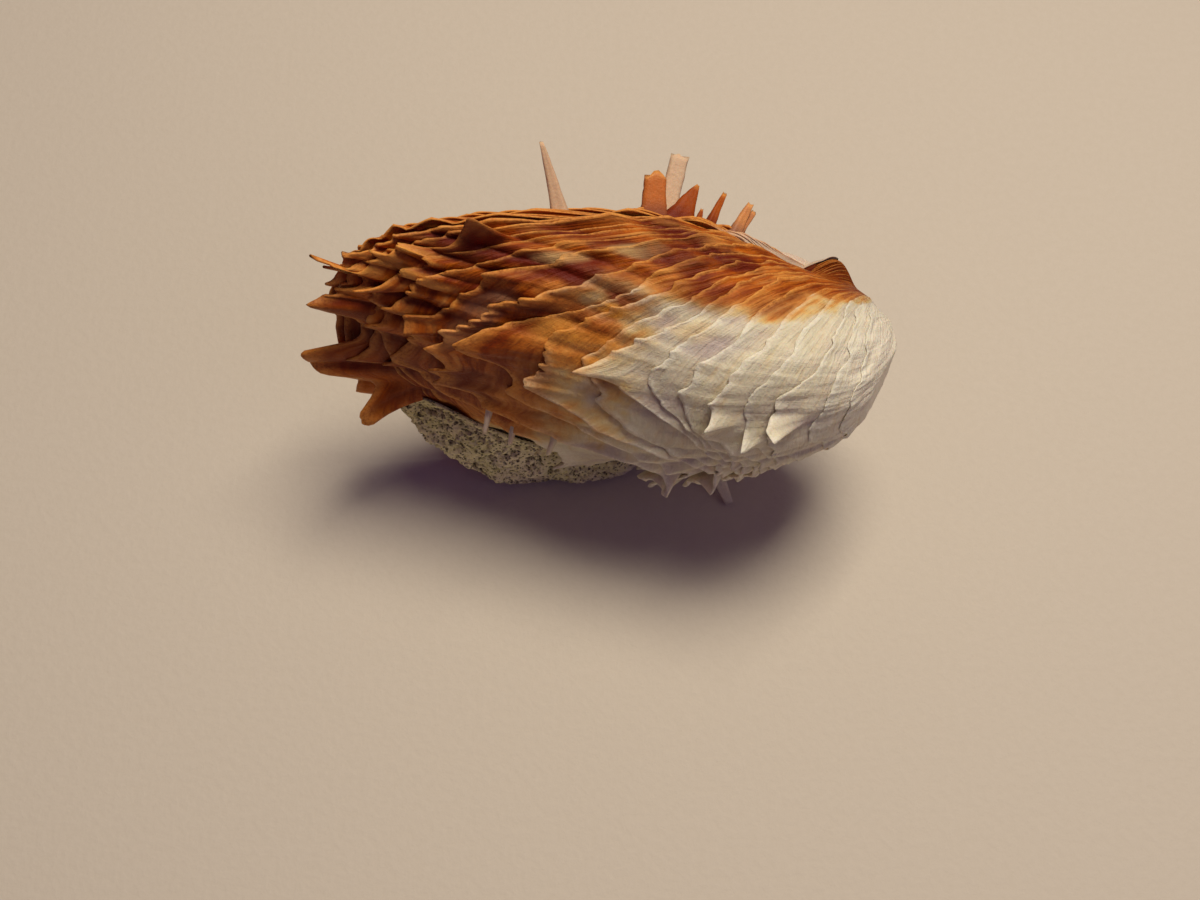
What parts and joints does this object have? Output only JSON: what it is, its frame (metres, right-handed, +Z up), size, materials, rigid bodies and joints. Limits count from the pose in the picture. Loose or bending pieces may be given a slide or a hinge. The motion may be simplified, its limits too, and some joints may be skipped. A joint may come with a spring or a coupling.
{
  "type": "spiny oyster shell",
  "caption": "Closed pair of spiny oyster valves lying on its side, with leaning lamellae, long spines and a coral remnant on the lower valve.",
  "frame": {"origin": "middle of the shell's bounding box, on the surface that it lies on", "axes": "+Z up; +X from the ventral margin to the hinge; the lower valve faces -Y and the upper valve faces +Y"},
  "size_m": [0.0724, 0.032, 0.0571],
  "materials": {
    "lower_shell": "satin, orange-brown to chalky white",
    "upper_shell": "satin, pink-brown with paler spines",
    "coral": "porous, matt, greenish cream",
    "ligament": "dry, dark brown"
  },
  "bodies": {
    "root": {"lower_valve": "lower_shell", "upper_valve": "upper_shell", "coral_remnant": "coral", "ligament": "ligament"}
  },
  "joints": []
}
